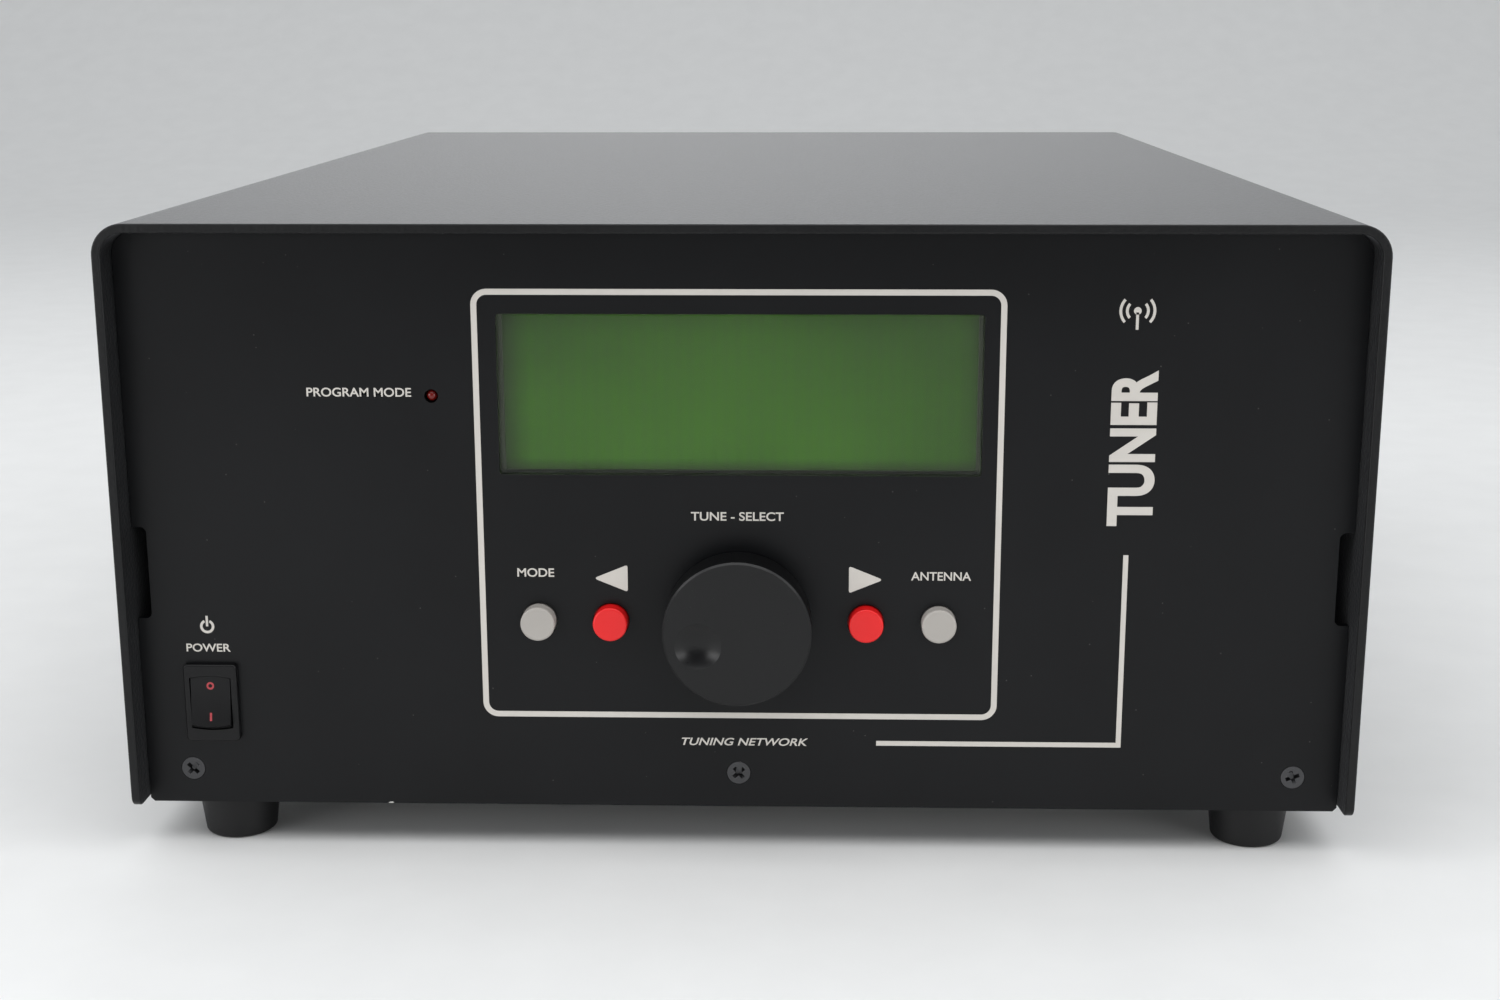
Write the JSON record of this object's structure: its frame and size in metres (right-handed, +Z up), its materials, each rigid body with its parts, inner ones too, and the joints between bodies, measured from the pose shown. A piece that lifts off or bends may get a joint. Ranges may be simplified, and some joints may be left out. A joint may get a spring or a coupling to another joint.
{
  "type": "antenna tuner",
  "caption": "Desk-top automatic antenna tuner: black sheet-metal case with display, tuning knob, push buttons and rocker switch, rear sockets and a motor-driven network.",
  "frame": {"origin": "centre of the base, on the surface the feet stand on, halfway along the overall depth", "axes": "+Z up, the front faces -Y, +X to the right seen from in front"},
  "size_m": [0.3174, 0.445, 0.1651],
  "materials": {
    "textured_black": "textured powder coat",
    "panel_black": "satin",
    "dark_screws": "black oxide",
    "zinc_steel": "zinc plated",
    "foot_rubber": "matte",
    "clear_lens": "gloss",
    "display_frame": "satin",
    "display_cell": "gloss",
    "backlight_white": "matte",
    "circuit_board": "solder mask",
    "black_plastic": "satin",
    "knob_plastic": "satin",
    "grey_cap": "satin",
    "red_cap": "satin",
    "lamp_red": "gloss",
    "bright_metal": "nickel plated",
    "contact_brass": "satin",
    "white_insulator": "glazed",
    "plate_aluminium": "satin",
    "resin_board": "satin",
    "copper": "tinned copper",
    "motor_black": "satin",
    "ferrite": "matte",
    "wire_cover": "satin"
  },
  "bodies": {
    "case": {"cover": "textured_black", "front_panel": "panel_black", "rear_panel": "panel_black", "chassis_tray": "panel_black", "panel_screws": "dark_screws", "cover_screws": "dark_screws", "rear_screws": "dark_screws", "nuts": "zinc_steel", "foot_screws": "zinc_steel", "board_standoffs": "zinc_steel", "terminal_studs": "zinc_steel", "motor_brackets": "zinc_steel", "rubber_feet": "foot_rubber", "display_lens": "clear_lens", "display_bezel": "display_frame", "display_glass": "display_cell", "display_backlight": "backlight_white", "display_board": "circuit_board", "control_board": "circuit_board", "main_board": "circuit_board", "relay_board": "circuit_board", "button_switches": "black_plastic", "power_switch_housing": "black_plastic", "dc_power_jack": "black_plastic", "board_components": "black_plastic", "program_led": "lamp_red", "encoder_body": "bright_metal", "encoder_nut": "bright_metal", "power_switch_terminals": "bright_metal", "coax_sockets": "bright_metal", "serial_port": "bright_metal", "roller_rod": "bright_metal", "coax_contacts": "contact_brass", "coax_insulators": "white_insulator", "ceramic_insulators": "white_insulator", "capacitor_frame": "plate_aluminium", "capacitor_stator": "plate_aluminium", "inductor_frame": "resin_board", "copper_straps": "copper", "stepper_motors": "motor_black", "balun_core": "ferrite", "balun_winding": "wire_cover", "ribbon_cable": "wire_cover"},
    "knob": {"tuning_knob": "knob_plastic", "knob_set_screw": "zinc_steel", "encoder_shaft": "bright_metal"},
    "mode_button": {"mode_button": "grey_cap"},
    "left_button": {"left_button": "red_cap"},
    "right_button": {"right_button": "red_cap"},
    "antenna_button": {"antenna_button": "grey_cap"},
    "rocker": {"power_rocker": "black_plastic"},
    "washer": {"ground_washer": "zinc_steel"},
    "wing_nut": {"ground_wing_nut": "zinc_steel"},
    "capacitor": {"capacitor_rotor": "plate_aluminium", "capacitor_coupler": "resin_board"},
    "coil": {"inductor_former": "resin_board", "inductor_winding": "copper", "inductor_coupler": "resin_board"},
    "bush": {"roller_bush": "contact_brass"},
    "wheel": {"roller_wheel": "contact_brass"}
  },
  "joints": [
    {"name": "knob_turn", "type": "hinge", "parent": "case", "child": "knob", "pos_m": [0, -0.2165, 0.0623], "axis": [0, 1, 0], "continuous": true},
    {"name": "mode_press", "type": "slide", "parent": "case", "child": "mode_button", "axis": [0, 1, 0], "range_m": [0, 0.0012], "stiffness_N_per_m": 600, "springref_m": -0.001},
    {"name": "left_press", "type": "slide", "parent": "case", "child": "left_button", "axis": [0, 1, 0], "range_m": [0, 0.0012], "stiffness_N_per_m": 600, "springref_m": -0.001},
    {"name": "right_press", "type": "slide", "parent": "case", "child": "right_button", "axis": [0, 1, 0], "range_m": [0, 0.0012], "stiffness_N_per_m": 600, "springref_m": -0.001},
    {"name": "antenna_press", "type": "slide", "parent": "case", "child": "antenna_button", "axis": [0, 1, 0], "range_m": [0, 0.0012], "stiffness_N_per_m": 600, "springref_m": -0.001},
    {"name": "rocker_tilt", "type": "hinge", "parent": "case", "child": "rocker", "pos_m": [-0.1379, -0.2083, 0.0397], "axis": [1, 0, 0], "range_deg": [0, 16]},
    {"name": "washer_slide", "type": "slide", "parent": "case", "child": "washer", "axis": [0, 1, 0], "range_m": [0, 0.008]},
    {"name": "wing_nut_turn", "type": "hinge", "parent": "washer", "child": "wing_nut", "pos_m": [-0.015, 0.197, 0.0417], "axis": [0, 1, 0], "range_deg": [0, 2881]},
    {"name": "capacitor_turn", "type": "hinge", "parent": "case", "child": "capacitor", "pos_m": [0.078, -0.1, 0.08], "axis": [0, 1, 0], "range_deg": [0, 180]},
    {"name": "coil_turn", "type": "hinge", "parent": "case", "child": "coil", "pos_m": [-0.078, -0.1, 0.08], "axis": [0, 1, 0], "range_deg": [-3960, 3960]},
    {"name": "roller_slide", "type": "slide", "parent": "case", "child": "bush", "axis": [0, 1, 0], "range_m": [-0.055, 0.055]},
    {"name": "wheel_roll", "type": "hinge", "parent": "bush", "child": "wheel", "pos_m": [-0.078, -0.022, 0.113], "axis": [0, 1, 0], "continuous": true}
  ],
  "couplings": [
    {"joint": "wing_nut_turn", "follows": "washer_slide", "rad_per_m": 6283.2},
    {"joint": "roller_slide", "follows": "coil_turn", "m_per_rad": -0.00079577},
    {"joint": "wheel_roll", "follows": "coil_turn", "ratio": -3.52}
  ]
}
